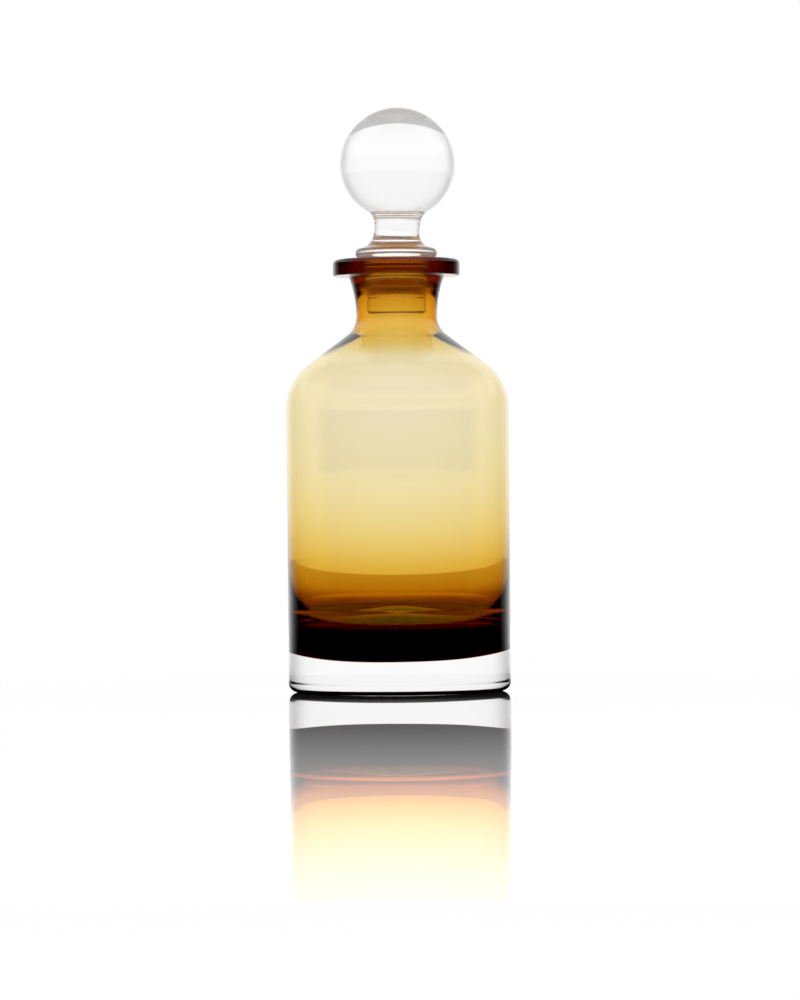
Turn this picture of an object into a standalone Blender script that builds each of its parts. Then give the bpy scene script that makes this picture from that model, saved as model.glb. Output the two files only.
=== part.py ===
"""Round glass decanter with a heavy clear foot, an amber inside and a ball stopper.

Metres, +Z up. The origin is the centre of the ring that it stands on.
Every piece is a turned shape: a half outline, swept once round the Z axis.
"""
import math

import bpy

MM = 0.001

# Shared by all pieces
TURN_STEPS = 40
JOIN_GAP = 0.3 * MM
MERGE_DISTANCE = 0.01 * MM
SHARP_ANGLE = math.radians(35)

# Outer shape of the bottle
BODY_RADIUS = 50.0 * MM
FOOT_EDGE_RADIUS = 5.0 * MM
FOOT_TOP_EDGE_RADIUS = 0.3 * MM
BODY_SIDE_TOP = 126.9 * MM
SHOULDER_RADIUS = 25.3 * MM
SHOULDER_TILT = math.radians(53.13)
THROAT_RADIUS = 18.2 * MM
THROAT_FILLET_RADIUS = 10.0 * MM
NECK_FLARE_RADIUS = 52.0 * MM
NECK_LENGTH = 18.3 * MM
LIP_THICKNESS = 7.4 * MM
LIP_RADIUS = 28.6 * MM
LIP_EDGE_RADIUS = 1.8 * MM

# The foot's dished top, which the amber's rounded underside lies in, and its hollow underside
FOOT_CENTRE_HEIGHT = 13.4 * MM
FOOT_HEIGHT = 25.4 * MM
DISH_POWER = 3
PUSH_UP_HEIGHT = 3.0 * MM
STANDING_RING_WIDTH = 4.0 * MM

# The two layers of the wall, from the outside in
BODY_CASING_WALL = 1.0 * MM
NECK_CASING_WALL = 0.8 * MM
BODY_LINER_WALL = 0.7 * MM
THROAT_LINER_WALL = 1.9 * MM

# Hollow inside: the liner thickens towards the floor, and more so the lower it is
CAVITY_FLOOR = 32.2 * MM
BOWL_CORNER_RADIUS = 8.5 * MM
BOWL_THICKENING = 2.9 * MM
THICKENING_LENGTH = 20.0 * MM

# Amber lip and mouth, whose bore is ground to take the stopper
BORE_RADIUS = 14.6 * MM
MOUTH_DEPTH = 9.0 * MM
BORE_EDGE_RADIUS = 0.5 * MM

# Stopper
PLUG_CLEARANCE = 0.35 * MM
PLUG_LENGTH = 24.5 * MM
PLUG_TAPER = 0.35 * MM
PLUG_TIP_LENGTH = 9.8 * MM
PLUG_TIP_RADIUS = 13.4 * MM
PLUG_EDGE_RADIUS = 1.8 * MM
COLLAR_RADIUS = 18.5 * MM
COLLAR_HEIGHT = 5.9 * MM
COLLAR_EDGE_RADIUS = 2.5 * MM
COLLAR_TOP_RADIUS = 13.4 * MM
COLLAR_HOLLOW_SHARE = 0.45
COLLAR_RIM_ANGLE = math.radians(60)
STEM_HEIGHT = 14.4 * MM
STEM_BASE_RADIUS = 13.0 * MM
STEM_WAIST_RADIUS = 10.3 * MM
STEM_WAIST_HEIGHT = 7.2 * MM
STEM_TOP_RADIUS = 12.6 * MM
STEM_FLARE_POWER = 3
BALL_RADIUS = 25.9 * MM
BALL_LOWER_DEPTH = 24.3 * MM

# Heights up the bottle: the shoulder's arc, its straight slope, the throat's fillet, the neck, the lip
ARC_TURN_IN = (SHOULDER_RADIUS + THROAT_FILLET_RADIUS) * (1 - math.cos(SHOULDER_TILT))
SLOPE_LENGTH = (BODY_RADIUS - THROAT_RADIUS - ARC_TURN_IN) / math.sin(SHOULDER_TILT)
ARC_RISE = (SHOULDER_RADIUS + THROAT_FILLET_RADIUS) * math.sin(SHOULDER_TILT)
THROAT_HEIGHT = BODY_SIDE_TOP + ARC_RISE + SLOPE_LENGTH * math.cos(SHOULDER_TILT)
LIP_UNDERSIDE = THROAT_HEIGHT + NECK_LENGTH
LIP_TOP = LIP_UNDERSIDE + LIP_THICKNESS
MOUTH_BOTTOM = LIP_UNDERSIDE - MOUTH_DEPTH

# How finely the curved stretches are cut, in segments
SHOULDER_SEGMENTS = 5
THROAT_SEGMENTS = 4
FLARE_SEGMENTS = 3
NECK_SEGMENTS = 2
THICKENING_SEGMENTS = 6
BOWL_SEGMENTS = 5
DISH_SEGMENTS = 9
PUSH_UP_SEGMENTS = 5
EDGE_SEGMENTS = 3
BALL_SEGMENTS = 18
STEM_SEGMENTS = 8

# Colours of clear and amber glass, as red, green, blue and opacity
CLEAR_GLASS = (0.95, 0.96, 0.95, 0.3)
AMBER_GLASS = (0.72, 0.36, 0.05, 0.6)
DEEP_AMBER_GLASS = (0.33, 0.09, 0.01, 0.85)


def clear_scene():
    """Remove the objects that the file was opened with."""
    for old in list(bpy.data.objects):
        bpy.data.objects.remove(old, do_unlink=True)


def glass(name, colour, roughness):
    """One glass material, with its colour in the viewport too."""
    material = bpy.data.materials.new(name)
    material.use_nodes = True
    shader = material.node_tree.nodes["Principled BSDF"]
    shader.inputs["Base Color"].default_value = colour
    shader.inputs["Roughness"].default_value = roughness
    shader.inputs["Metallic"].default_value = 0.0
    shader.inputs["Transmission Weight"].default_value = 1.0
    material.diffuse_color = colour
    return material


def arc(centre, radius, start_angle, end_angle, segments):
    """Points (radius from the axis, height) along a circular arc, both ends included."""
    points = []
    for index in range(segments + 1):
        angle = start_angle + (end_angle - start_angle) * index / segments
        points.append((centre[0] + radius * math.cos(angle), centre[1] + radius * math.sin(angle)))
    return points


def outer_corner(corner, radius, upper):
    """A rounded convex corner of an outline that runs down its outer side."""
    if upper:
        centre = (corner[0] - radius, corner[1] - radius)
        return arc(centre, radius, math.radians(90), 0.0, EDGE_SEGMENTS)
    centre = (corner[0] - radius, corner[1] + radius)
    return arc(centre, radius, 0.0, math.radians(-90), EDGE_SEGMENTS)


def neck_flare(neck_inset, top, bottom, segments):
    """The flared neck from top down to bottom, set in from the outer glass."""
    radius = NECK_FLARE_RADIUS + neck_inset
    centre = (THROAT_RADIUS + NECK_FLARE_RADIUS, THROAT_HEIGHT)
    top_angle = math.pi - math.asin((top - THROAT_HEIGHT) / radius)
    bottom_angle = math.pi - math.asin((bottom - THROAT_HEIGHT) / radius)
    return arc(centre, radius, top_angle, bottom_angle, segments)


def shoulder_side(body_inset, neck_inset):
    """The side from the throat down to the foot of the shoulder, set in from the outer glass.

    The shoulder arc and the throat's fillet share their centres in every layer,
    and a straight stretch touches both.
    """
    shoulder_centre = (BODY_RADIUS - SHOULDER_RADIUS, BODY_SIDE_TOP)
    shoulder_radius = SHOULDER_RADIUS - body_inset
    throat_centre = (THROAT_RADIUS + THROAT_FILLET_RADIUS, THROAT_HEIGHT)
    fillet_radius = THROAT_FILLET_RADIUS + neck_inset

    across = throat_centre[0] - shoulder_centre[0]
    rise = throat_centre[1] - shoulder_centre[1]
    between = math.hypot(across, rise)
    slope = math.atan2(rise, across) - math.acos((shoulder_radius + fillet_radius) / between)

    fillet = arc(throat_centre, fillet_radius, math.pi, math.pi + slope, THROAT_SEGMENTS)
    shoulder = arc(shoulder_centre, shoulder_radius, slope, 0.0, SHOULDER_SEGMENTS)
    return fillet + shoulder


def turned(name, outline, closed, material, collection, parent, origin_height):
    """A solid made by sweeping an outline once round the Z axis of its parent."""
    mesh = bpy.data.meshes.new(name)
    points = [(radius, 0.0, height - origin_height) for radius, height in outline]
    edges = [(index, index + 1) for index in range(len(points) - 1)]
    if closed:
        edges.append((len(points) - 1, 0))
    mesh.from_pydata(points, edges, [])
    mesh.materials.append(material)
    piece = bpy.data.objects.new(name, mesh)
    collection.objects.link(piece)
    piece.parent = parent
    piece.location = (0.0, 0.0, origin_height - parent.location.z)

    screw = piece.modifiers.new("turn", "SCREW")
    screw.axis = "Z"
    screw.angle = math.radians(360)
    screw.steps = TURN_STEPS
    screw.render_steps = TURN_STEPS
    screw.use_merge_vertices = True
    screw.merge_threshold = MERGE_DISTANCE
    screw.use_smooth_shade = True

    solid = bpy.data.meshes.new_from_object(piece.evaluated_get(bpy.context.evaluated_depsgraph_get()))
    piece.modifiers.clear()
    piece.data = solid
    bpy.data.meshes.remove(mesh)
    solid.name = name
    solid.shade_smooth()
    solid.set_sharp_from_angle(angle=SHARP_ANGLE)
    return piece


def dish(raised, end_radius):
    """The foot's dished top from its centre out to a radius, raised by a gap."""
    rim_radius = BODY_RADIUS - BODY_CASING_WALL
    points = []
    for index in range(DISH_SEGMENTS + 1):
        radius = end_radius * index / DISH_SEGMENTS
        rise = (FOOT_HEIGHT - FOOT_CENTRE_HEIGHT) * (radius / rim_radius) ** DISH_POWER
        points.append((radius, FOOT_CENTRE_HEIGHT + rise + raised))
    return points


def push_up():
    """The hollow of the underside, an arc from its edge up to the axis."""
    edge_radius = BODY_RADIUS - FOOT_EDGE_RADIUS - STANDING_RING_WIDTH
    arc_radius = (edge_radius ** 2 + PUSH_UP_HEIGHT ** 2) / (2 * PUSH_UP_HEIGHT)
    centre = (0.0, PUSH_UP_HEIGHT - arc_radius)
    edge_angle = math.acos(edge_radius / arc_radius)
    return arc(centre, arc_radius, edge_angle, math.radians(90), PUSH_UP_SEGMENTS)


def make_foot(collection, parent, material):
    """The thick clear foot, dished above for the amber and hollow below within its standing ring."""
    top = outer_corner((BODY_RADIUS, FOOT_HEIGHT), FOOT_TOP_EDGE_RADIUS, True)
    bottom = outer_corner((BODY_RADIUS, 0.0), FOOT_EDGE_RADIUS, False)
    hollow = push_up()
    hollow[-1] = (0.0, PUSH_UP_HEIGHT)
    outline = dish(0.0, BODY_RADIUS - BODY_CASING_WALL) + top + bottom + hollow
    return turned("clear_foot", outline, False, material, collection, parent, 0.0)


def make_casing(collection, parent, material):
    """The clear outer layer of the body, shoulder and neck, open at both ends."""
    top = LIP_UNDERSIDE - JOIN_GAP
    bottom = FOOT_HEIGHT + JOIN_GAP
    outside = neck_flare(0.0, top, THROAT_HEIGHT, FLARE_SEGMENTS)
    outside += shoulder_side(0.0, 0.0)[1:] + [(BODY_RADIUS, bottom)]
    inside = neck_flare(NECK_CASING_WALL, top, THROAT_HEIGHT, FLARE_SEGMENTS)
    inside += shoulder_side(BODY_CASING_WALL, NECK_CASING_WALL)[1:]
    inside.append((BODY_RADIUS - BODY_CASING_WALL, bottom))
    outline = outside + inside[::-1]
    return turned("clear_casing", outline, True, material, collection, parent, 0.0)


def make_liner(collection, parent, material):
    """The amber inner bubble, with the cavity's thick floor and a rounded underside."""
    top = MOUTH_BOTTOM - JOIN_GAP
    body_inset = BODY_CASING_WALL + JOIN_GAP
    neck_inset = NECK_CASING_WALL + JOIN_GAP
    outside = neck_flare(neck_inset, top, THROAT_HEIGHT, NECK_SEGMENTS)
    outside += shoulder_side(body_inset, neck_inset)[1:]
    outside += dish(JOIN_GAP, BODY_RADIUS - body_inset)[::-1]

    body_inset += BODY_LINER_WALL
    neck_inset += THROAT_LINER_WALL
    corner_top = CAVITY_FLOOR + BOWL_CORNER_RADIUS
    corner_radius = BODY_RADIUS - body_inset - BOWL_THICKENING
    corner_centre = (corner_radius - BOWL_CORNER_RADIUS, corner_top)
    inside = [(0.0, CAVITY_FLOOR)]
    inside += arc(corner_centre, BOWL_CORNER_RADIUS, math.radians(-90), 0.0, BOWL_SEGMENTS)
    for index in range(1, THICKENING_SEGMENTS):
        rise = THICKENING_LENGTH * math.log(THICKENING_SEGMENTS / (THICKENING_SEGMENTS - index))
        thickening = BOWL_THICKENING * math.exp(-rise / THICKENING_LENGTH)
        inside.append((BODY_RADIUS - body_inset - thickening, corner_top + rise))
    inside += shoulder_side(body_inset, neck_inset)[::-1]
    inside.append((inside[-1][0], top))
    return turned("amber_liner", inside + outside, False, material, collection, parent, 0.0)


def make_lip(collection, parent, material):
    """The lip's flange, in one with the thick mouth that the stopper's plug fits."""
    neck_inset = NECK_CASING_WALL + JOIN_GAP
    mouth_centre = (BORE_RADIUS + BORE_EDGE_RADIUS, LIP_TOP - BORE_EDGE_RADIUS)
    mouth = arc(mouth_centre, BORE_EDGE_RADIUS, math.pi, math.radians(90), EDGE_SEGMENTS)
    rim_top = outer_corner((LIP_RADIUS, LIP_TOP), LIP_EDGE_RADIUS, True)
    rim_bottom = outer_corner((LIP_RADIUS, LIP_UNDERSIDE), LIP_EDGE_RADIUS, False)
    neck = neck_flare(neck_inset, LIP_UNDERSIDE, MOUTH_BOTTOM, NECK_SEGMENTS)
    bore_centre = (BORE_RADIUS + BORE_EDGE_RADIUS, MOUTH_BOTTOM + BORE_EDGE_RADIUS)
    bore_end = arc(bore_centre, BORE_EDGE_RADIUS, math.radians(270), math.pi, EDGE_SEGMENTS)
    outline = mouth + rim_top + rim_bottom + neck + bore_end
    return turned("amber_lip", outline, True, material, collection, parent, 0.0)


def make_plug(collection, parent, material, top):
    """The ground, slightly tapered plug in the bore, with its narrower polished tip."""
    radius = BORE_RADIUS - PLUG_CLEARANCE
    ground_end = top - PLUG_LENGTH + PLUG_TIP_LENGTH
    step = radius - PLUG_TAPER - PLUG_TIP_RADIUS
    outline = [(0.0, top), (radius, top), (radius - PLUG_TAPER, ground_end)]
    outline.append((PLUG_TIP_RADIUS, ground_end - step))
    outline += outer_corner((PLUG_TIP_RADIUS, top - PLUG_LENGTH), PLUG_EDGE_RADIUS, False)
    outline.append((0.0, top - PLUG_LENGTH))
    return turned("stopper_plug", outline, False, material, collection, parent, top)


def make_collar(collection, parent, material, bottom):
    """The flat disc of the stopper that rests on the lip."""
    top = bottom + COLLAR_HEIGHT
    rim_middle = bottom + COLLAR_EDGE_RADIUS
    rim_centre = (COLLAR_RADIUS - COLLAR_EDGE_RADIUS, rim_middle)
    rim = arc(rim_centre, COLLAR_EDGE_RADIUS, COLLAR_RIM_ANGLE, math.radians(-90), 2 * EDGE_SEGMENTS)
    waist = (COLLAR_TOP_RADIUS, top)
    shoulder = []
    for index in range(1, EDGE_SEGMENTS):
        part = index / EDGE_SEGMENTS
        radius = waist[0] + (rim[0][0] - waist[0]) * part
        straight = waist[1] + (rim[0][1] - waist[1]) * part
        sag = COLLAR_HOLLOW_SHARE * (waist[1] - rim[0][1]) * part * (1 - part)
        shoulder.append((radius, straight - sag))
    outline = [(0.0, top), waist] + shoulder + rim + [(0.0, bottom)]
    return turned("stopper_collar", outline, False, material, collection, parent, bottom)


def make_stem(collection, parent, material, bottom):
    """The waisted stem between the collar and the ball."""
    outline = [(0.0, bottom + STEM_HEIGHT)]
    for index in range(STEM_SEGMENTS + 1):
        height = STEM_HEIGHT * (1 - index / STEM_SEGMENTS)
        if height > STEM_WAIST_HEIGHT:
            part = (height - STEM_WAIST_HEIGHT) / (STEM_HEIGHT - STEM_WAIST_HEIGHT)
            end_radius = STEM_TOP_RADIUS
        else:
            part = (STEM_WAIST_HEIGHT - height) / STEM_WAIST_HEIGHT
            end_radius = STEM_BASE_RADIUS
        flare = (end_radius - STEM_WAIST_RADIUS) * part ** STEM_FLARE_POWER
        outline.append((STEM_WAIST_RADIUS + flare, bottom + height))
    outline.append((0.0, bottom))
    return turned("stopper_stem", outline, False, material, collection, parent, bottom)


def make_ball(collection, parent, material, bottom):
    """The ball, a little flattened below and cut flat where it sits on the stem."""
    cut_angle = -math.acos(STEM_TOP_RADIUS / BALL_RADIUS)
    middle = bottom - BALL_LOWER_DEPTH * math.sin(cut_angle)
    outline = [(0.0, middle + BALL_RADIUS)]
    for radius, height in arc((0.0, 0.0), BALL_RADIUS, math.radians(90), cut_angle, BALL_SEGMENTS)[1:]:
        if height < 0.0:
            height = height * BALL_LOWER_DEPTH / BALL_RADIUS
        outline.append((radius, middle + height))
    outline.append((0.0, bottom))
    return turned("stopper_ball", outline, False, material, collection, parent, middle)


def build():
    clear_scene()
    decanter = bpy.data.collections.new("decanter")
    bpy.context.scene.collection.children.link(decanter)

    bottle = bpy.data.objects.new("bottle_axis", None)
    decanter.objects.link(bottle)
    stopper = bpy.data.objects.new("stopper_axis", None)
    stopper.location = (0.0, 0.0, LIP_TOP)
    stopper.parent = bottle
    decanter.objects.link(stopper)
    bpy.context.view_layer.update()

    make_foot(decanter, bottle, glass("foot_glass", CLEAR_GLASS, 0.02))
    make_casing(decanter, bottle, glass("casing_glass", CLEAR_GLASS, 0.02))
    make_liner(decanter, bottle, glass("liner_glass", AMBER_GLASS, 0.02))
    make_lip(decanter, bottle, glass("lip_glass", DEEP_AMBER_GLASS, 0.02))

    plug_top = LIP_TOP
    collar_bottom = LIP_TOP + JOIN_GAP
    stem_bottom = collar_bottom + COLLAR_HEIGHT + JOIN_GAP
    ball_bottom = stem_bottom + STEM_HEIGHT + JOIN_GAP
    make_plug(decanter, stopper, glass("plug_glass", CLEAR_GLASS, 0.12), plug_top)
    make_collar(decanter, stopper, glass("collar_glass", CLEAR_GLASS, 0.02), collar_bottom)
    make_stem(decanter, stopper, glass("stem_glass", CLEAR_GLASS, 0.02), stem_bottom)
    make_ball(decanter, stopper, glass("ball_glass", CLEAR_GLASS, 0.02), ball_bottom)


build()
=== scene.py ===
"""Dresses the decanter: amber glass cased in clear glass, on a white table that mirrors it.

Metres, +Z up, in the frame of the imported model. Every piece is a turned shape, swept round the Z axis.
"""
import math

import bpy
from mathutils import Matrix, Vector, noise


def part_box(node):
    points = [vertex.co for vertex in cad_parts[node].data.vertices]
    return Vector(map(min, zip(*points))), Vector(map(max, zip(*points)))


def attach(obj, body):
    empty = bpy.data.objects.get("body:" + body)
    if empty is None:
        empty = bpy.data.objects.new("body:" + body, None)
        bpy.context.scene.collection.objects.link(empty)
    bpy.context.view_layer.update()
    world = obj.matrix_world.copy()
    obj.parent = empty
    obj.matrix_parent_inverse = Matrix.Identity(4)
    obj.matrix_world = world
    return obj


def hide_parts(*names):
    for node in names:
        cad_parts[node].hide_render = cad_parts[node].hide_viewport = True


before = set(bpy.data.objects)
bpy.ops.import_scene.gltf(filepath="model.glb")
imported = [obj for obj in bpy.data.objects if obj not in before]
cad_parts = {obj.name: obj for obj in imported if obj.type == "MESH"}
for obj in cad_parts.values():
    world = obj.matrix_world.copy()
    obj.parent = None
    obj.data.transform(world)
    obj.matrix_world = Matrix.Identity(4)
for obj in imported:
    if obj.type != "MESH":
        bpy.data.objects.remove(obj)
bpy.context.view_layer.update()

MM = 0.001
QUARTER_TURN = math.radians(90)

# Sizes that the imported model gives
BODY_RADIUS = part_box("clear_foot")[1].x
FOOT_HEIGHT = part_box("clear_foot")[1].z
LIP_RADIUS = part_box("amber_lip")[1].x
LIP_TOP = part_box("amber_lip")[1].z
MOUTH_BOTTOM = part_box("amber_lip")[0].z
PLUG_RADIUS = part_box("stopper_plug")[1].x
PLUG_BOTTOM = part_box("stopper_plug")[0].z
COLLAR_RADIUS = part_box("stopper_collar")[1].x
COLLAR_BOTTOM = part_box("stopper_collar")[0].z
COLLAR_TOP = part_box("stopper_collar")[1].z
BALL_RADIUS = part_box("stopper_ball")[1].x
BALL_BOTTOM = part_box("stopper_ball")[0].z
BALL_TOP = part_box("stopper_ball")[1].z

# Outer glass of the bottle
FOOT_EDGE_RADIUS = 4.25 * MM
STANDING_RING_WIDTH = 6.0 * MM
PUSH_UP_HEIGHT = 3.0 * MM
BODY_SIDE_TOP = 126.9 * MM
SHOULDER_RADIUS = 25.3 * MM
SHOULDER_TILT = math.radians(53.13)
THROAT_RADIUS = 18.2 * MM
THROAT_FILLET_RADIUS = 10.0 * MM
NECK_FLARE_RADIUS = 52.0 * MM
NECK_LENGTH = 18.3 * MM
MOUTH_DEPTH = 9.0 * MM
LIP_EDGE_RADIUS = 2.0 * MM
LIP_LOWER_EDGE_RADIUS = 0.8 * MM
LIP_UNDERSIDE = MOUTH_BOTTOM + MOUTH_DEPTH
THROAT_HEIGHT = LIP_UNDERSIDE - NECK_LENGTH

# Hollow, and the thick ring in the mouth that is ground to take the stopper
CAVITY_FLOOR = 27.6 * MM
FLOOR_DOME_HEIGHT = 4.9 * MM
BOWL_CORNER_RADIUS = 9.5 * MM
BOWL_CORNER_TOP = CAVITY_FLOOR + BOWL_CORNER_RADIUS
BORE_RADIUS = 14.6 * MM
BORE_EDGE_RADIUS = 0.5 * MM
RING_BOTTOM = MOUTH_BOTTOM + 3.0 * MM
NECK_WIDENS_OVER = 4.0 * MM

# Wall, thicker towards the throat and towards the floor
BODY_WALL = 2.0 * MM
THROAT_WALL = 3.6 * MM
WALL_GROWS_FROM = 150.0 * MM
WALL_GROWS_TO = 173.0 * MM
BOWL_THICKENING = 3.3 * MM
THICKENING_LENGTH = 20.0 * MM
BOWL_ROOT = 0.8 * MM
ROOT_LENGTH = 6.0 * MM

# Amber layer inside the wall
BODY_CASING = 1.5 * MM
NECK_CASING = 1.1 * MM
MOUTH_CASING = 0.6 * MM
RIM_CASING = 1.4 * MM
INNER_SKIN = 0.16 * MM
LAYER_GAP = 0.03 * MM
AMBER_LOWEST = 13.7 * MM
AMBER_EDGE_HEIGHT = FOOT_HEIGHT + 0.3 * MM
DISH_POWER = 3
AMBER_TILT = math.radians(0.65)

# Stopper
PLUG_TAPER = 0.35 * MM
PLUG_TIP_LENGTH = 9.8 * MM
PLUG_TIP_RADIUS = 13.4 * MM
PLUG_EDGE_RADIUS = 1.8 * MM
PLUG_GROUND_END = PLUG_BOTTOM + PLUG_TIP_LENGTH
RIDGE_COUNT = 5
RIDGE_PITCH = 1.9 * MM
RIDGE_DEPTH = 0.3 * MM
COLLAR_EDGE_RADIUS = 2.5 * MM
COLLAR_TOP_RADIUS = 13.4 * MM
COLLAR_RIM_ANGLE = math.radians(60)
COLLAR_HOLLOW_SHARE = 0.45
STEM_WAIST_RADIUS = 10.3 * MM
STEM_WAIST_HEIGHT = COLLAR_TOP + 7.5 * MM
STEM_TOP_RADIUS = 12.6 * MM
STEM_FLARE_POWER = 3
STOPPER_LEAN = 0.9 * MM

# Steps along each stretch of the outlines, and round the axis
TURN_STEPS = 192
NECK_STEPS = 16
THROAT_FILLET_STEPS = 20
SHOULDER_STEPS = 36
FOOT_EDGE_STEPS = 24
PUSH_UP_STEPS = 40
LIP_EDGE_STEPS = 10
LIP_LOWER_EDGE_STEPS = 8
BORE_EDGE_STEPS = 6
PASSAGE_STEPS = 16
BOWL_CORNER_STEPS = 16
FLOOR_DOME_STEPS = 24
AMBER_DISH_STEPS = 60
BALL_STEPS = 96
STEM_STEPS = 32
COLLAR_RIM_STEPS = 20
COLLAR_SLOPE_STEPS = 8
PLUG_STEPS = 120
PLUG_EDGE_STEPS = 12
STRAIGHT_STEPS_LEAST = 4
STRAIGHT_STEP_LENGTH = 3.0 * MM
SAME_POINT = 0.01 * MM

# Unevenness of hand-finished glass, as waves in the surface and as finer ripples
WAVE_DEPTH = 0.04 * MM
WAVE_LENGTH = 22.0 * MM
WAVE_HEIGHT_SHARE = 0.6
WAVE_FULL_RADIUS = 10.0 * MM
BOTTLE_WAVE_SEED = 0.0
STOPPER_WAVE_SEED = 7.0
RIPPLE_DETAIL = 3.0
RIPPLE_SCALE = 60.0
RIPPLE_STRENGTH = 0.05
RIPPLE_DEPTH = 0.2 * MM

# Glass: clear, ground and amber. The amber ones absorb so much red, green and blue light per millimetre
GLASS_IOR = 1.5
# Painted shade on clear glass: where it is seen edge on, its colour darkens to these levels, for the dark
# look of its edges
EDGE_SHADE_FROM = 0.4
EDGE_SHADE_TO = 0.78
BOTTLE_PAINTED_EDGE_SHADE = 1.0
FOOT_PAINTED_EDGE_SHADE = 0.46
STOPPER_PAINTED_EDGE_SHADE = 0.5
GROUND_COLOUR = (0.97, 0.97, 0.96, 1.0)
GRAIN_SCALE = 2500.0
GRAIN_STRENGTH = 0.15
GRAIN_DEPTH = 0.05 * MM
GROUND_ROUGHNESS_LEAST = 0.08
GROUND_ROUGHNESS_MOST = 0.18
BORE_MARGIN = 0.1 * MM
WALL_ABSORBS = (0.045, 0.185, 0.74)
BASE_ABSORBS = (0.2, 0.5, 1.0)
LIP_ABSORBS = (0.085, 0.2, 0.6)
DENSITY_MARGIN = 1.05
STREAK_SCALE = 35.0
STREAK_DETAIL = 2.0
STREAK_LEVEL = 0.985

# Surround that the glass's own surface mirrors: a field straight behind that is white within one angle and
# dark beyond another, and what is mirrored of the sky, by its height from 0 at the horizon to 1 overhead
FIELD_WHITE_WITHIN = math.radians(24)
FIELD_DARK_BEYOND = math.radians(56)
FIELD_FADE_POWER = 2
LEAST_LENGTH = 1e-6
SKY_RISES_FROM = 0.12
SKY_RISES_TO = 0.4
SKY_FADES_FROM = 0.3
SKY_FADES_TO = 0.9
SKY_TOP_LEVEL = 0.3

# Surround that is seen through the glass, and the dark front for rays that the glass has turned back
CEILING_FROM = 0.5
CEILING_TO = 0.95
CEILING_LEVEL = 0.9
FRONT_LEVEL = 0.02
FRONT_FROM = -0.2
FRONT_TO = 0.3
OVERHEAD_FROM = 0.6
OVERHEAD_TO = 0.85

# Floor: its white, and the distances over which it fades into the surround
FLOOR_RADIUS = 7.0
FLOOR_STEPS = 128
FLOOR_DROP = 0.2 * MM
FLOOR_COLOUR = (0.985, 0.985, 0.985, 1.0)
FLOOR_ROUGHNESS = 0.9
WHITE = (1.0, 1.0, 1.0, 1.0)
WHITE_FROM = 800.0 * MM
WHITE_TO = 1200.0 * MM

# Floor: how much of it mirrors, by the distance from the axis and by how flat the view is
CLOSE_FROM = 70.0 * MM
CLOSE_TO = 250.0 * MM
CLOSE_START = 0.985
MIRROR_FROM = 300.0 * MM
MIRROR_TO = 1000.0 * MM
MIRROR_START = 0.77
MIRROR_FULL_AT = 0.57
MIRROR_GAIN = 1.75
GAIN_FROM = 450.0 * MM
GAIN_TO = 750.0 * MM

# Floor as it is seen through the glass, painted as a glow: plain, a grey that stands in for the lit table, or
# through the amber a painted amber light with a painted shadow near the bottle, and a painted white
# reflection where it is seen flat
TABLE_RADIUS = 440.0 * MM
TABLE_EDGE_RADIUS = TABLE_RADIUS * 1.01
TABLE_PAINTED_GREY = (0.58, 0.58, 0.58, 1.0)
TABLE_PAINTED_AMBER_LIGHT = (0.7, 0.58, 0.26, 1.0)
TABLE_IN_SHADE = (0.2, 0.08, 0.01, 1.0)
SHADE_FROM = 70.0 * MM
SHADE_TO = 240.0 * MM
PAINTED_REFLECTION_FROM = 0.6
PAINTED_REFLECTION_TO = 0.72
AMBER_SURFACES_FROM = 4.0
AMBER_SURFACES_TO = 5.0

# Camera, worked out from the photograph
CAMERA_DISTANCE = 1.9
FRAME_CENTRE_HEIGHT = 85.95 * MM
FRAME_HEIGHT = 450.0 * MM
CAMERA_SIDE = 0.77 * MM
CAMERA_ROLL = math.radians(0.5)
CLIP_START = 0.1
CLIP_END = 50.0

# How often light may bounce, as the layers of glass are many
GLASS_BOUNCES = 40
GLOSSY_BOUNCES = 16
DIFFUSE_BOUNCES = 3


def arc(centre, radius, start_angle, end_angle, steps):
    """Points (radius from the axis, height) along a circular arc, both ends included."""
    points = []
    for index in range(steps + 1):
        angle = start_angle + (end_angle - start_angle) * index / steps
        points.append((centre[0] + radius * math.cos(angle), centre[1] + radius * math.sin(angle)))
    return points


def straight(start, end, steps):
    """Points along a straight line, without its two ends, closer together near them."""
    points = []
    for index in range(1, steps):
        share = (1 - math.cos(math.pi * index / steps)) / 2
        points.append((start[0] + (end[0] - start[0]) * share, start[1] + (end[1] - start[1]) * share))
    return points


def joined(*stretches):
    """One outline from several stretches, with a straight run of points wherever they are apart."""
    outline = list(stretches[0])
    for stretch in stretches[1:]:
        apart = math.dist(outline[-1], stretch[0])
        if apart > SAME_POINT:
            steps = STRAIGHT_STEPS_LEAST + int(apart / STRAIGHT_STEP_LENGTH)
            outline += straight(outline[-1], stretch[0], steps)
            outline += stretch
        else:
            outline += stretch[1:]
    return outline


def smooth_step(value, start, end):
    """0 before start, 1 after end, and an even S between them."""
    share = min(max((value - start) / (end - start), 0.0), 1.0)
    return share * share * (3 - 2 * share)


def neck_side(top, bottom, depth):
    """The flared neck from top down to bottom, at a depth in the glass."""
    centre = (THROAT_RADIUS + NECK_FLARE_RADIUS, THROAT_HEIGHT)
    radius = NECK_FLARE_RADIUS + depth
    start = math.pi - math.asin((top - THROAT_HEIGHT) / radius)
    end = math.pi - math.asin((bottom - THROAT_HEIGHT) / radius)
    return arc(centre, radius, start, end, NECK_STEPS)


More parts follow.
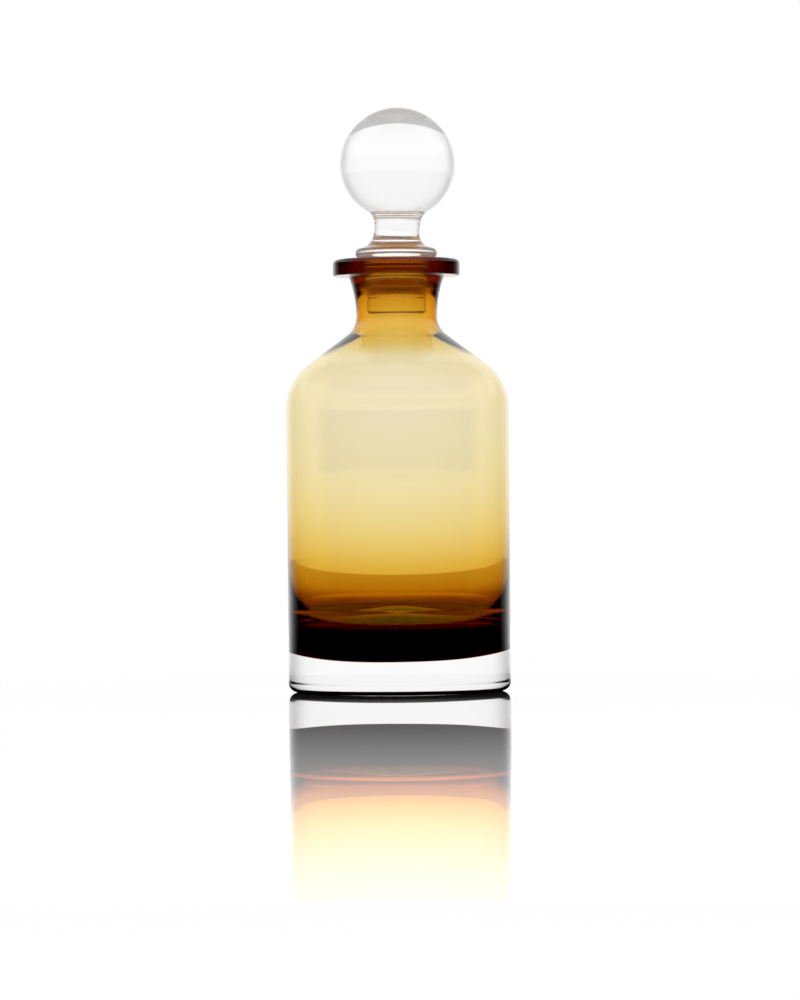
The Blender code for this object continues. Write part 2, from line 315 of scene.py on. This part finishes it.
def outer_side(bottom):
    """The bottle's outer glass, from the underside of its lip down to a height on its body."""
    flare = neck_side(LIP_UNDERSIDE, THROAT_HEIGHT, 0.0)
    fillet_centre = (THROAT_RADIUS + THROAT_FILLET_RADIUS, THROAT_HEIGHT)
    fillet = arc(fillet_centre, THROAT_FILLET_RADIUS, math.pi, math.pi + SHOULDER_TILT, THROAT_FILLET_STEPS)
    shoulder_centre = (BODY_RADIUS - SHOULDER_RADIUS, BODY_SIDE_TOP)
    shoulder = arc(shoulder_centre, SHOULDER_RADIUS, SHOULDER_TILT, 0.0, SHOULDER_STEPS)
    return joined(flare, fillet, shoulder, [(BODY_RADIUS, bottom)])


def inset(points, depth_at):
    """A line of points moved square into the glass by a depth that may differ with the height."""
    moved = []
    for index, (radius, height) in enumerate(points):
        before = points[max(index - 1, 0)]
        after = points[min(index + 1, len(points) - 1)]
        across = after[0] - before[0]
        along = after[1] - before[1]
        length = math.hypot(across, along)
        depth = depth_at(height)
        moved.append((radius + depth * along / length, height - depth * across / length))
    return moved


def casing_at(height):
    """Thickness of the clear outer layer."""
    growth = smooth_step(height, WALL_GROWS_FROM, WALL_GROWS_TO)
    return BODY_CASING + (NECK_CASING - BODY_CASING) * growth


def wall_at(height):
    """Thickness of the whole wall."""
    growth = smooth_step(height, WALL_GROWS_FROM, WALL_GROWS_TO)
    thickening = BOWL_THICKENING * math.exp(-(height - BOWL_CORNER_TOP) / THICKENING_LENGTH)
    root = BOWL_ROOT * math.exp(-(height - BOWL_CORNER_TOP) / ROOT_LENGTH)
    return BODY_WALL + (THROAT_WALL - BODY_WALL) * growth + thickening + root


def below_throat(points):
    """The points of a line that lie no higher than the throat."""
    return [point for point in points if point[1] <= THROAT_HEIGHT]


def hollow_side(skin):
    """The hollow's side from the mouth's ring down to its floor's corner, set back into the glass by skin."""
    side = inset(below_throat(outer_side(BOWL_CORNER_TOP)), lambda height: wall_at(height) - skin)
    throat_radius = side[0][0]
    corner_centre = (BODY_RADIUS - wall_at(BOWL_CORNER_TOP) - BOWL_CORNER_RADIUS, BOWL_CORNER_TOP)
    corner = arc(corner_centre, BOWL_CORNER_RADIUS + skin, 0.0, -QUARTER_TURN, BOWL_CORNER_STEPS)
    passage = []
    for index in range(PASSAGE_STEPS + 1):
        height = RING_BOTTOM + (THROAT_HEIGHT - RING_BOTTOM) * index / PASSAGE_STEPS
        share = smooth_step(height, RING_BOTTOM - NECK_WIDENS_OVER, RING_BOTTOM)
        passage.append((throat_radius + (BORE_RADIUS + skin - throat_radius) * share, height))
    return joined(passage, side, corner)


def floor_dome(depth):
    """The hollow's floor, domed up from its corner to the axis, and set down into the glass by depth."""
    edge = BODY_RADIUS - wall_at(BOWL_CORNER_TOP) - BOWL_CORNER_RADIUS
    points = []
    for index in range(FLOOR_DOME_STEPS + 1):
        share = index / FLOOR_DOME_STEPS
        rise = FLOOR_DOME_HEIGHT * (1 + math.cos(math.pi * share)) / 2
        points.append((edge * share, CAVITY_FLOOR - depth + rise))
    return points


def lip_rim(skin, casing):
    """The lip's rim from the flat top to the flat underside, set back by skin, and by casing at its side."""
    side = LIP_RADIUS - casing
    upper = (side - LIP_EDGE_RADIUS, LIP_TOP - LIP_EDGE_RADIUS)
    lower = (side - LIP_LOWER_EDGE_RADIUS, LIP_UNDERSIDE + LIP_LOWER_EDGE_RADIUS)
    top = arc(upper, LIP_EDGE_RADIUS - skin, QUARTER_TURN, 0.0, LIP_EDGE_STEPS)
    bottom = arc(lower, LIP_LOWER_EDGE_RADIUS - skin, 0.0, -QUARTER_TURN, LIP_LOWER_EDGE_STEPS)
    return joined(top, bottom)


def mouth_edge(skin):
    """The mouth's rounded edge, from the bore up on to the lip's flat top."""
    centre = (BORE_RADIUS + BORE_EDGE_RADIUS + skin, LIP_TOP - BORE_EDGE_RADIUS - skin)
    return arc(centre, BORE_EDGE_RADIUS, math.pi, QUARTER_TURN, BORE_EDGE_STEPS)


def push_up():
    """The hollow of the foot's underside, from its standing ring up to the axis."""
    edge_radius = BODY_RADIUS - FOOT_EDGE_RADIUS - STANDING_RING_WIDTH
    arc_radius = (edge_radius ** 2 + PUSH_UP_HEIGHT ** 2) / (2 * PUSH_UP_HEIGHT)
    centre = (0.0, PUSH_UP_HEIGHT - arc_radius)
    return arc(centre, arc_radius, math.acos(edge_radius / arc_radius), QUARTER_TURN, PUSH_UP_STEPS)


def bottle_outline():
    """The bottle's clear glass: up the hollow, over the lip, down the outside and under the foot."""
    inside = joined(floor_dome(0.0), hollow_side(0.0)[::-1])
    bore = joined([(BORE_RADIUS, RING_BOTTOM)], mouth_edge(0.0))
    foot_centre = (BODY_RADIUS - FOOT_EDGE_RADIUS, FOOT_EDGE_RADIUS)
    foot = arc(foot_centre, FOOT_EDGE_RADIUS, 0.0, -QUARTER_TURN, FOOT_EDGE_STEPS)
    outside = joined(lip_rim(0.0, 0.0), outer_side(FOOT_HEIGHT), foot, push_up())
    return joined(inside, bore, outside)


def ball_outline():
    """The ball, from its top down to where the stem meets it."""
    middle = BALL_TOP - BALL_RADIUS
    cut_angle = -math.acos(STEM_TOP_RADIUS / BALL_RADIUS)
    lower_share = (middle - BALL_BOTTOM) / (BALL_RADIUS * math.sin(-cut_angle))
    points = []
    for radius, height in arc((0.0, 0.0), BALL_RADIUS, QUARTER_TURN, cut_angle, BALL_STEPS):
        points.append((radius, middle + height * (lower_share if height < 0 else 1.0)))
    return points


def stem_radius(height):
    """Radius of the stopper's waisted stem at a height."""
    if height > STEM_WAIST_HEIGHT:
        share = (height - STEM_WAIST_HEIGHT) / (BALL_BOTTOM - STEM_WAIST_HEIGHT)
        return STEM_WAIST_RADIUS + (STEM_TOP_RADIUS - STEM_WAIST_RADIUS) * share ** STEM_FLARE_POWER
    share = (STEM_WAIST_HEIGHT - height) / (STEM_WAIST_HEIGHT - COLLAR_TOP)
    return STEM_WAIST_RADIUS + (COLLAR_TOP_RADIUS - STEM_WAIST_RADIUS) * share ** STEM_FLARE_POWER


def stem_outline():
    """The stem, from just below the ball down to the collar."""
    points = []
    for index in range(1, STEM_STEPS + 1):
        height = BALL_BOTTOM + (COLLAR_TOP - BALL_BOTTOM) * index / STEM_STEPS
        points.append((stem_radius(height), height))
    return points


def collar_outline():
    """The collar, from its slightly hollow slope round its rim to its flat underside."""
    rim_centre = (COLLAR_RADIUS - COLLAR_EDGE_RADIUS, COLLAR_BOTTOM + COLLAR_EDGE_RADIUS)
    rim = arc(rim_centre, COLLAR_EDGE_RADIUS, COLLAR_RIM_ANGLE, -QUARTER_TURN, COLLAR_RIM_STEPS)
    slope = []
    for index in range(1, COLLAR_SLOPE_STEPS):
        share = index / COLLAR_SLOPE_STEPS
        radius = COLLAR_TOP_RADIUS + (rim[0][0] - COLLAR_TOP_RADIUS) * share
        level = COLLAR_TOP + (rim[0][1] - COLLAR_TOP) * share
        sag = COLLAR_HOLLOW_SHARE * (COLLAR_TOP - rim[0][1]) * share * (1 - share)
        slope.append((radius, level - sag))
    return slope + rim


def plug_outline():
    """The tapered plug: ridged, then plain and ground, then a smaller polished tip."""
    points = []
    for index in range(PLUG_STEPS + 1):
        height = COLLAR_BOTTOM + (PLUG_GROUND_END - COLLAR_BOTTOM) * index / PLUG_STEPS
        depth = COLLAR_BOTTOM - height
        radius = PLUG_RADIUS - PLUG_TAPER * index / PLUG_STEPS
        if depth < RIDGE_COUNT * RIDGE_PITCH:
            radius -= RIDGE_DEPTH * (1 - math.cos(2 * math.pi * depth / RIDGE_PITCH)) / 2
        points.append((radius, height))
    step = PLUG_RADIUS - PLUG_TAPER - PLUG_TIP_RADIUS
    tip_centre = (PLUG_TIP_RADIUS - PLUG_EDGE_RADIUS, PLUG_BOTTOM + PLUG_EDGE_RADIUS)
    tip = arc(tip_centre, PLUG_EDGE_RADIUS, 0.0, -QUARTER_TURN, PLUG_EDGE_STEPS)
    return joined(points, [(PLUG_TIP_RADIUS, PLUG_GROUND_END - step)], tip, [(0.0, PLUG_BOTTOM)])


def stopper_outline():
    """The stopper as a whole, from the ball's top down to the plug's end."""
    upper = ball_outline()[1:] + stem_outline() + collar_outline()
    return joined([(0.0, BALL_TOP)], upper, plug_outline())


def wave_at(point, seed):
    """A smooth, slow value from 0 to 1 that differs round and along the piece."""
    across = point.x / WAVE_LENGTH + seed
    along = point.y / WAVE_LENGTH
    upward = WAVE_HEIGHT_SHARE * point.z / WAVE_LENGTH
    return min(max(0.5 + 0.5 * noise.noise(Vector((across, along, upward))), 0.0), 1.0)


def swept(name, outline, closed, materials, slot_at, wave_seed):
    """A solid made by sweeping an outline once round the Z axis, with slight waves in its surface."""
    rings = []
    vertices = []
    for radius, height in outline:
        if radius < SAME_POINT:
            rings.append([len(vertices)] * TURN_STEPS)
            vertices.append(Vector((0.0, 0.0, height)))
            continue
        rings.append(range(len(vertices), len(vertices) + TURN_STEPS))
        for step in range(TURN_STEPS):
            angle = 2 * math.pi * step / TURN_STEPS
            point = Vector((radius * math.cos(angle), radius * math.sin(angle), height))
            wave = WAVE_DEPTH * wave_at(point, wave_seed) * min(radius / WAVE_FULL_RADIUS, 1.0)
            vertices.append(Vector((point.x * (1 - wave / radius), point.y * (1 - wave / radius), height)))
    faces = []
    slots = []
    last = len(rings) if closed else len(rings) - 1
    for index in range(last):
        following = (index + 1) % len(rings)
        upper = rings[index]
        lower = rings[following]
        middle = (outline[index][0] + outline[following][0]) / 2
        height = (outline[index][1] + outline[following][1]) / 2
        for step in range(TURN_STEPS):
            after = (step + 1) % TURN_STEPS
            corners = [upper[step], lower[step], lower[after], upper[after]]
            faces.append(list(dict.fromkeys(corners)))
            slots.append(slot_at(middle, height))
    mesh = bpy.data.meshes.new(name)
    mesh.from_pydata(vertices, [], faces)
    for material in materials:
        mesh.materials.append(material)
    mesh.polygons.foreach_set("material_index", slots)
    mesh.shade_smooth()
    mesh.update()
    piece = bpy.data.objects.new(name, mesh)
    bpy.context.scene.collection.objects.link(piece)
    return piece


def only_slot(radius, height):
    """The slot of a piece in one material."""
    return 0


def material_tree(name):
    """A new material with its node tree and its Principled shader."""
    material = bpy.data.materials.new(name)
    material.use_nodes = True
    tree = material.node_tree
    return material, tree, tree.nodes["Principled BSDF"]


def add(tree, kind, **values):
    """A new node, with properties set by name and sockets by their label with spaces as _."""
    node = tree.nodes.new(kind)
    for key, value in values.items():
        if hasattr(node, key):
            setattr(node, key, value)
        else:
            node.inputs[key.replace("_", " ")].default_value = value
    return node


def fed(tree, socket, value):
    """Gives a socket a value, which is a number, a colour or another socket."""
    if isinstance(value, bpy.types.NodeSocket):
        tree.links.new(value, socket)
    else:
        socket.default_value = value


def math_node(tree, operation, first, second=0.0):
    """The result of a sum on one or two values, each a socket or a number."""
    node = add(tree, "ShaderNodeMath", operation=operation)
    fed(tree, node.inputs[0], first)
    fed(tree, node.inputs[1], second)
    return node.outputs[0]


def mapped(tree, value, from_low, from_high, to_low, to_high, smooth=False):
    """A value carried from one range to another, and kept inside it."""
    node = add(tree, "ShaderNodeMapRange", clamp=True)
    if smooth:
        node.interpolation_type = "SMOOTHSTEP"
    tree.links.new(value, node.inputs["Value"])
    node.inputs["From Min"].default_value = from_low
    node.inputs["From Max"].default_value = from_high
    node.inputs["To Min"].default_value = to_low
    node.inputs["To Max"].default_value = to_high
    return node.outputs["Result"]


def mixed(tree, share, first, second):
    """A mix of two values: first where share is 0, second where it is 1."""
    node = add(tree, "ShaderNodeMix", data_type="FLOAT")
    fed(tree, node.inputs[0], share)
    fed(tree, node.inputs[2], first)
    fed(tree, node.inputs[3], second)
    return node.outputs[0]


def mixed_colour(tree, share, first, second):
    """A mix of two colours: first where share is 0, second where it is 1."""
    node = add(tree, "ShaderNodeMix", data_type="RGBA")
    fed(tree, node.inputs[0], share)
    fed(tree, node.inputs[6], first)
    fed(tree, node.inputs[7], second)
    return node.outputs[2]


def mixed_shader(tree, share, first, second):
    """A mix of two shaders: first where share is 0, second where it is 1."""
    node = add(tree, "ShaderNodeMixShader")
    tree.links.new(share, node.inputs["Fac"])
    tree.links.new(first, node.inputs[1])
    tree.links.new(second, node.inputs[2])
    return node.outputs["Shader"]


def grey(tree, level):
    """A grey of a level that another node gives."""
    node = add(tree, "ShaderNodeCombineColor")
    for channel in ("Red", "Green", "Blue"):
        tree.links.new(level, node.inputs[channel])
    return node.outputs["Color"]


def bumped(tree, shader, scale, strength, depth):
    """Gives a shader a fine uneven surface, and returns the value that it follows."""
    place = add(tree, "ShaderNodeTexCoord")
    texture = add(tree, "ShaderNodeTexNoise", Scale=scale, Detail=RIPPLE_DETAIL)
    bump = add(tree, "ShaderNodeBump", Strength=strength, Distance=depth)
    tree.links.new(place.outputs["Object"], texture.inputs["Vector"])
    tree.links.new(texture.outputs["Fac"], bump.inputs["Height"])
    tree.links.new(bump.outputs["Normal"], shader.inputs["Normal"])
    return texture.outputs["Fac"]


def clear_glass(name, painted_edge_shade):
    """Polished clear glass, very slightly uneven, with painted shade: its colour is darker where it is seen
    edge on.
    """
    material, tree, shader = material_tree(name)
    # Painted shade: the colour darkens where the glass is seen edge on
    facing = add(tree, "ShaderNodeLayerWeight", Blend=0.5)
    level = mapped(tree, facing.outputs["Facing"], EDGE_SHADE_FROM, EDGE_SHADE_TO, 1.0, painted_edge_shade, True)
    tree.links.new(grey(tree, level), shader.inputs["Base Color"])
    shader.inputs["Roughness"].default_value = 0.0
    shader.inputs["IOR"].default_value = GLASS_IOR
    shader.inputs["Transmission Weight"].default_value = 1.0
    bumped(tree, shader, RIPPLE_SCALE, RIPPLE_STRENGTH, RIPPLE_DEPTH)
    return material


def ground_glass(name):
    """Glass ground matt, as in a stopper's bore, with a fine grain."""
    material, tree, shader = material_tree(name)
    shader.inputs["Base Color"].default_value = GROUND_COLOUR
    shader.inputs["IOR"].default_value = GLASS_IOR
    shader.inputs["Transmission Weight"].default_value = 1.0
    grain = bumped(tree, shader, GRAIN_SCALE, GRAIN_STRENGTH, GRAIN_DEPTH)
    roughness = mapped(tree, grain, 0.0, 1.0, GROUND_ROUGHNESS_LEAST, GROUND_ROUGHNESS_MOST)
    tree.links.new(roughness, shader.inputs["Roughness"])
    return material


def amber_glass(name, absorbed):
    """Amber colour as a volume, which absorbs so much red, green and blue light per millimetre."""
    material, tree, shader = material_tree(name)
    shader.inputs["Roughness"].default_value = 0.0
    shader.inputs["IOR"].default_value = 1.0
    shader.inputs["Transmission Weight"].default_value = 1.0
    place = add(tree, "ShaderNodeTexCoord")
    streaks = add(tree, "ShaderNodeTexNoise", Scale=STREAK_SCALE, Detail=STREAK_DETAIL)
    tree.links.new(place.outputs["Object"], streaks.inputs["Vector"])
    level = mapped(tree, streaks.outputs["Fac"], 0.0, 1.0, STREAK_LEVEL, 1.0)
    tree.links.new(grey(tree, level), shader.inputs["Base Color"])
    density = DENSITY_MARGIN * max(absorbed) / MM
    volume = add(tree, "ShaderNodeVolumeAbsorption", Density=density)
    passed = [1 - share / MM / density for share in absorbed]
    volume.inputs["Color"].default_value = (*passed, 1.0)
    tree.links.new(volume.outputs["Volume"], tree.nodes["Material Output"].inputs["Volume"])
    return material


def make_bottle(clear, ground, foot_glass):
    """The clear glass of the bottle: foot, casing, neck, lip and the skin of the hollow, in one."""
    def slot_at(radius, height):
        if height < FOOT_HEIGHT - FOOT_EDGE_RADIUS:
            return 2
        in_bore = radius < BORE_RADIUS + BORE_MARGIN
        return 1 if in_bore and RING_BOTTOM < height < LIP_TOP - BORE_EDGE_RADIUS else 0

    materials = [clear, ground, foot_glass]
    piece = swept("bottle_glass", bottle_outline(), False, materials, slot_at, BOTTLE_WAVE_SEED)
    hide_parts("clear_foot", "clear_casing")
    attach(piece, "bottle")


def make_amber_wall(material):
    """The amber layer of the body, shoulder and throat."""
    bottom = CAVITY_FLOOR - INNER_SKIN - LAYER_GAP
    outside = inset(below_throat(outer_side(bottom)), casing_at)
    outside = joined(neck_side(RING_BOTTOM - LAYER_GAP, THROAT_HEIGHT, NECK_CASING), outside[1:])
    inside = hollow_side(INNER_SKIN)[::-1][1:]
    piece = swept("amber_wall", joined(inside, outside), True, [material], only_slot, BOTTLE_WAVE_SEED)
    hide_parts("amber_liner")
    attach(piece, "bottle")


def make_amber_base(material):
    """The solid amber floor under the hollow, whose rounded lower face is slightly tilted."""
    radius = BODY_RADIUS - BODY_CASING
    top = CAVITY_FLOOR - INNER_SKIN - 2 * LAYER_GAP
    dish = []
    for index in range(AMBER_DISH_STEPS + 1):
        share = 1 - index / AMBER_DISH_STEPS
        dish.append((radius * share, AMBER_LOWEST + (AMBER_EDGE_HEIGHT - AMBER_LOWEST) * share ** DISH_POWER))
    outline = joined(floor_dome(CAVITY_FLOOR - top), [(radius, top)], dish)
    piece = swept("amber_base", outline, False, [material], only_slot, BOTTLE_WAVE_SEED)
    for vertex in piece.data.vertices:
        share = 1 - smooth_step(vertex.co.z, AMBER_EDGE_HEIGHT, top)
        vertex.co.z += vertex.co.x * math.tan(AMBER_TILT) * share
    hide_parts("amber_liner")
    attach(piece, "bottle")


def make_amber_lip(material):
    """The amber of the lip and of the thick ring round the bore."""
    bottom = RING_BOTTOM + LAYER_GAP
    outside = neck_side(LIP_UNDERSIDE + INNER_SKIN, bottom, MOUTH_CASING)
    bore = [(BORE_RADIUS + INNER_SKIN, bottom)]
    outline = joined(bore, mouth_edge(INNER_SKIN), lip_rim(INNER_SKIN, RIM_CASING), outside)
    piece = swept("amber_lip_core", outline, True, [material], only_slot, BOTTLE_WAVE_SEED)
    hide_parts("amber_lip")
    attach(piece, "bottle")


def make_stopper(clear, ground):
    """The stopper: ball, stem, collar and plug in one piece of clear glass, leaning slightly at the ball."""
    def slot_at(radius, height):
        return 1 if radius > PLUG_TIP_RADIUS and PLUG_GROUND_END < height < COLLAR_BOTTOM else 0

    materials = [clear, ground]
    piece = swept("stopper_glass", stopper_outline(), False, materials, slot_at, STOPPER_WAVE_SEED)
    for vertex in piece.data.vertices:
        vertex.co.x += STOPPER_LEAN * smooth_step(vertex.co.z, COLLAR_TOP, BALL_BOTTOM)
    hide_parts("stopper_plug", "stopper_collar", "stopper_stem", "stopper_ball")
    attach(piece, "stopper")


def bright_field(tree, x, y):
    """Brightness in the direction (x, y), high behind the object, with its length and cosine."""
    across = math_node(tree, "MULTIPLY", x, x)
    along = math_node(tree, "MULTIPLY", y, y)
    length = math_node(tree, "SQRT", math_node(tree, "ADD", across, along))
    cosine = math_node(tree, "DIVIDE", y, math_node(tree, "MAXIMUM", length, LEAST_LENGTH))
    share = mapped(tree, cosine, math.cos(FIELD_DARK_BEYOND), math.cos(FIELD_WHITE_WITHIN), 0.0, 1.0)
    return math_node(tree, "POWER", share, FIELD_FADE_POWER), length, cosine


def mirrored_sky(tree, height, field):
    """What the glass's own surface mirrors: the bright field behind, and the sky some way up all round."""
    rising = mapped(tree, height, SKY_RISES_FROM, SKY_RISES_TO, 0.0, 1.0, True)
    fading = mapped(tree, height, SKY_FADES_FROM, SKY_FADES_TO, 1.0, SKY_TOP_LEVEL, True)
    return math_node(tree, "MAXIMUM", field, math_node(tree, "MULTIPLY", rising, fading))


def refracted_sky(tree, height, cosine, path):
    """What is seen through the glass: white, slightly greyer overhead, and dark in front once turned back."""
    ceiling = mapped(tree, height, CEILING_FROM, CEILING_TO, 1.0, CEILING_LEVEL, True)
    overhead = mapped(tree, height, OVERHEAD_FROM, OVERHEAD_TO, 0.0, 1.0, True)
    front = mapped(tree, cosine, FRONT_FROM, FRONT_TO, FRONT_LEVEL, 1.0, True)
    turned_back = math_node(tree, "MINIMUM", path.outputs["Glossy Depth"], 1.0)
    within = mixed(tree, turned_back, 1.0, math_node(tree, "MAXIMUM", front, overhead))
    return math_node(tree, "MULTIPLY", ceiling, within)


def make_world():
    """White all round, but with a dark field in front for what glass mirrors and turns back."""
    world = bpy.data.worlds.new("studio")
    bpy.context.scene.world = world
    world.use_nodes = True
    tree = world.node_tree
    place = add(tree, "ShaderNodeTexCoord")
    axes = add(tree, "ShaderNodeSeparateXYZ")
    tree.links.new(place.outputs["Generated"], axes.inputs["Vector"])
    height = axes.outputs["Z"]
    field, _, cosine = bright_field(tree, axes.outputs["X"], axes.outputs["Y"])
    path = add(tree, "ShaderNodeLightPath")
    level = mixed(tree, path.outputs["Is Glossy Ray"], 1.0, mirrored_sky(tree, height, field))
    through = refracted_sky(tree, height, cosine, path)
    level = mixed(tree, path.outputs["Is Transmission Ray"], level, through)
    tree.nodes["Background"].inputs["Color"].default_value = WHITE
    tree.links.new(level, tree.nodes["Background"].inputs["Strength"])


def plain_floor(tree, shader, distance, flatness):
    """The floor as the camera sees it: matt white that mirrors the object and fades into the surround."""
    shader.inputs["Base Color"].default_value = FLOOR_COLOUR
    shader.inputs["Roughness"].default_value = FLOOR_ROUGHNESS
    shader.inputs["Specular IOR Level"].default_value = 0.0
    white = add(tree, "ShaderNodeEmission", Strength=1.0)
    fading = mapped(tree, distance, WHITE_FROM, WHITE_TO, 0.0, 1.0, True)
    base = mixed_shader(tree, fading, shader.outputs["BSDF"], white.outputs["Emission"])

    far = mapped(tree, distance, MIRROR_FROM, MIRROR_TO, MIRROR_START, 0.0)
    close = mapped(tree, distance, CLOSE_FROM, CLOSE_TO, CLOSE_START, 0.0)
    near = math_node(tree, "SQRT", math_node(tree, "MAXIMUM", far, close))
    covered = math_node(tree, "MULTIPLY", near, mapped(tree, flatness, 0.0, MIRROR_FULL_AT, 0.0, 1.0))
    matt = add(tree, "ShaderNodeMixShader")
    tree.links.new(covered, matt.inputs["Fac"])
    tree.links.new(base, matt.inputs[1])

    gain = mapped(tree, distance, GAIN_FROM, GAIN_TO, 1.0, MIRROR_GAIN)
    mirror = add(tree, "ShaderNodeBsdfGlossy", Roughness=0.0)
    tree.links.new(math_node(tree, "MULTIPLY", covered, gain), mirror.inputs["Color"])
    seen = add(tree, "ShaderNodeAddShader")
    tree.links.new(matt.outputs["Shader"], seen.inputs[0])
    tree.links.new(mirror.outputs["BSDF"], seen.inputs[1])
    return seen.outputs["Shader"]


def floor_through_glass(tree, distance, flatness, path):
    """The table as glass shows it, painted as a glow: grey, or painted amber light and painted shadow through
    the amber, a painted white reflection where seen flat, and white beyond.
    """
    beyond = mapped(tree, distance, TABLE_RADIUS, TABLE_EDGE_RADIUS, 0.0, 1.0)
    # Painted reflection: the table glows white where it is seen flat
    painted_reflection = mapped(tree, flatness, PAINTED_REFLECTION_FROM, PAINTED_REFLECTION_TO, 0.0, 1.0)
    surfaces = path.outputs["Transmission Depth"]
    amber = mapped(tree, surfaces, AMBER_SURFACES_FROM, AMBER_SURFACES_TO, 0.0, 1.0)
    # Painted amber light from the bottle on the table, and a painted shadow of it close to the axis
    lit = mapped(tree, distance, SHADE_FROM, SHADE_TO, 0.0, 1.0, True)
    painted_amber_light_and_shadow = mixed_colour(tree, lit, TABLE_IN_SHADE, TABLE_PAINTED_AMBER_LIGHT)
    table = mixed_colour(tree, amber, TABLE_PAINTED_GREY, painted_amber_light_and_shadow)
    colour = mixed_colour(tree, math_node(tree, "MAXIMUM", painted_reflection, beyond), table, WHITE)
    emission = add(tree, "ShaderNodeEmission")
    tree.links.new(colour, emission.inputs["Color"])
    return emission.outputs["Emission"]


def white_table():
    """The floor's material, which differs for what the camera, a mirroring and a clear surface see of it."""
    material, tree, shader = material_tree("white_table")
    place = add(tree, "ShaderNodeTexCoord")
    axes = add(tree, "ShaderNodeSeparateXYZ")
    tree.links.new(place.outputs["Object"], axes.inputs["Vector"])
    field, distance, _ = bright_field(tree, axes.outputs["X"], axes.outputs["Y"])
    flatness = add(tree, "ShaderNodeFresnel", IOR=GLASS_IOR).outputs["Fac"]
    path = add(tree, "ShaderNodeLightPath")

    seen = plain_floor(tree, shader, distance, flatness)
    # In the glass's reflections the floor is a painted glow: white behind the object and dark in front, as
    # the bright field
    in_glass = add(tree, "ShaderNodeEmission")
    tree.links.new(field, in_glass.inputs["Strength"])
    behind_glass = floor_through_glass(tree, distance, flatness, path)
    reflected = mixed_shader(tree, path.outputs["Is Glossy Ray"], seen, in_glass.outputs["Emission"])
    refracted = mixed_shader(tree, path.outputs["Is Transmission Ray"], reflected, behind_glass)
    tree.links.new(refracted, tree.nodes["Material Output"].inputs["Surface"])
    return material


def make_floor():
    """A round white floor, just under the foot."""
    points = []
    for index in range(FLOOR_STEPS):
        angle = 2 * math.pi * index / FLOOR_STEPS
        points.append((FLOOR_RADIUS * math.cos(angle), FLOOR_RADIUS * math.sin(angle), 0.0))
    mesh = bpy.data.meshes.new("floor")
    mesh.from_pydata(points, [], [list(range(FLOOR_STEPS))])
    mesh.materials.append(white_table())
    floor = bpy.data.objects.new("floor", mesh)
    floor.location = (0.0, 0.0, -FLOOR_DROP)
    bpy.context.scene.collection.objects.link(floor)


def make_camera():
    """A level camera in front of the object, rolled slightly as in the photograph."""
    data = bpy.data.cameras.new("camera")
    data.sensor_fit = "VERTICAL"
    data.angle_y = 2 * math.atan(FRAME_HEIGHT / 2 / CAMERA_DISTANCE)
    data.clip_start = CLIP_START
    data.clip_end = CLIP_END
    camera = bpy.data.objects.new("camera", data)
    bpy.context.scene.collection.objects.link(camera)
    place = Vector((CAMERA_SIDE, -CAMERA_DISTANCE, FRAME_CENTRE_HEIGHT))
    aim = Vector((CAMERA_SIDE, 0.0, FRAME_CENTRE_HEIGHT))
    facing = (aim - place).to_track_quat("-Z", "Y").to_matrix()
    rolled = facing @ Matrix.Rotation(-CAMERA_ROLL, 3, "Z")
    camera.matrix_world = Matrix.Translation(place) @ rolled.to_4x4()
    bpy.context.scene.camera = camera


def build():
    """Makes the pieces, the studio round them and the camera."""
    ground = ground_glass("ground_glass")
    bottle = clear_glass("clear_glass", BOTTLE_PAINTED_EDGE_SHADE)
    make_bottle(bottle, ground, clear_glass("foot_glass", FOOT_PAINTED_EDGE_SHADE))
    make_amber_wall(amber_glass("amber_glass", WALL_ABSORBS))
    make_amber_base(amber_glass("amber_base_glass", BASE_ABSORBS))
    make_amber_lip(amber_glass("amber_lip_glass", LIP_ABSORBS))
    make_stopper(clear_glass("stopper_glass", STOPPER_PAINTED_EDGE_SHADE), ground)
    make_world()
    make_floor()
    make_camera()
    scene = bpy.context.scene
    scene.view_settings.view_transform = "Standard"
    scene.cycles.max_bounces = GLASS_BOUNCES
    scene.cycles.transmission_bounces = GLASS_BOUNCES
    scene.cycles.glossy_bounces = GLOSSY_BOUNCES
    scene.cycles.diffuse_bounces = DIFFUSE_BOUNCES


build()
bpy.context.view_layer.update()
